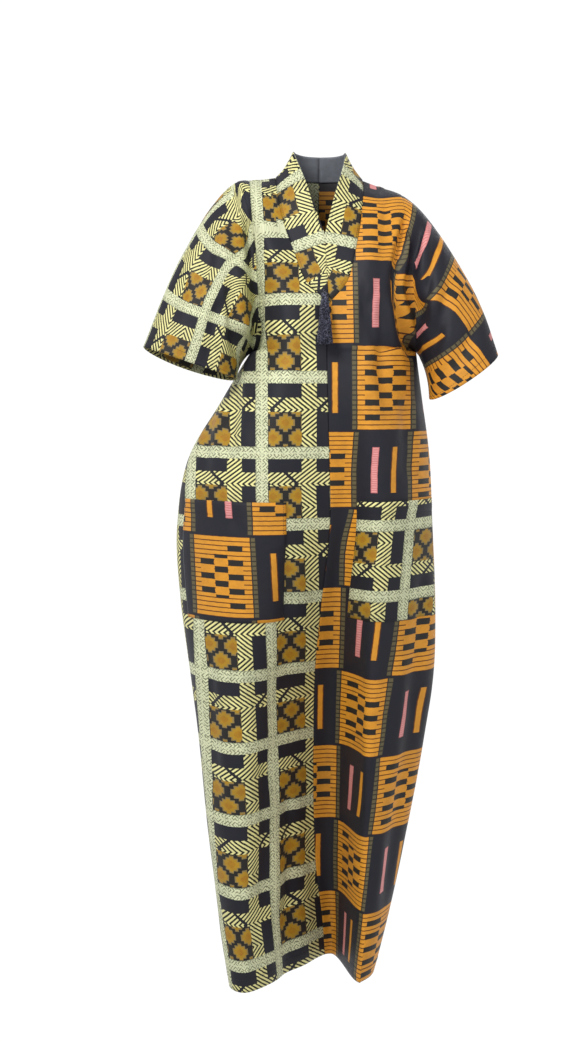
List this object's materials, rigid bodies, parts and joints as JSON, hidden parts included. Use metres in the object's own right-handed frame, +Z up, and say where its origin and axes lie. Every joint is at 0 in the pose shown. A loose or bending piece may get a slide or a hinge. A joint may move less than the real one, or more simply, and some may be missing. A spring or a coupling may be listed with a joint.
{
  "type": "kaftan",
  "caption": "Floor-length kaftan in two wax prints, with elbow sleeves cut on, a wide V collar that stands at the neck, patch pockets and a tassel, in its worn hollow form.",
  "frame": {"origin": "the middle of the neck at the height of the shoulders, where the wearer holds the kaftan up", "axes": "+Z up, the front faces -Y, +X towards the wearer's left, which is the viewer's right"},
  "size_m": [0.6472, 0.3397, 1.5345],
  "materials": {
    "lattice_print": "matt wax-print cotton, pale lattice and chevrons with ochre diamonds on charcoal navy",
    "block_print": "matt wax-print cotton, orange striped blocks and bars on charcoal navy",
    "collar_print": "the lattice print on interfaced cotton",
    "pocket_block_print": "the block print, turned upside down",
    "pocket_lattice_print": "the lattice print, turned upside down",
    "tassel_thread": "charcoal thread with a metallic violet-silver glint"
  },
  "bodies": {
    "root": {"front_right": "lattice_print", "back_right": "lattice_print", "front_left": "block_print", "back_left": "block_print", "collar_right": "collar_print", "collar_left": "collar_print", "pocket_right": "pocket_block_print", "pocket_left": "pocket_lattice_print", "tassel": "tassel_thread"}
  },
  "joints": []
}
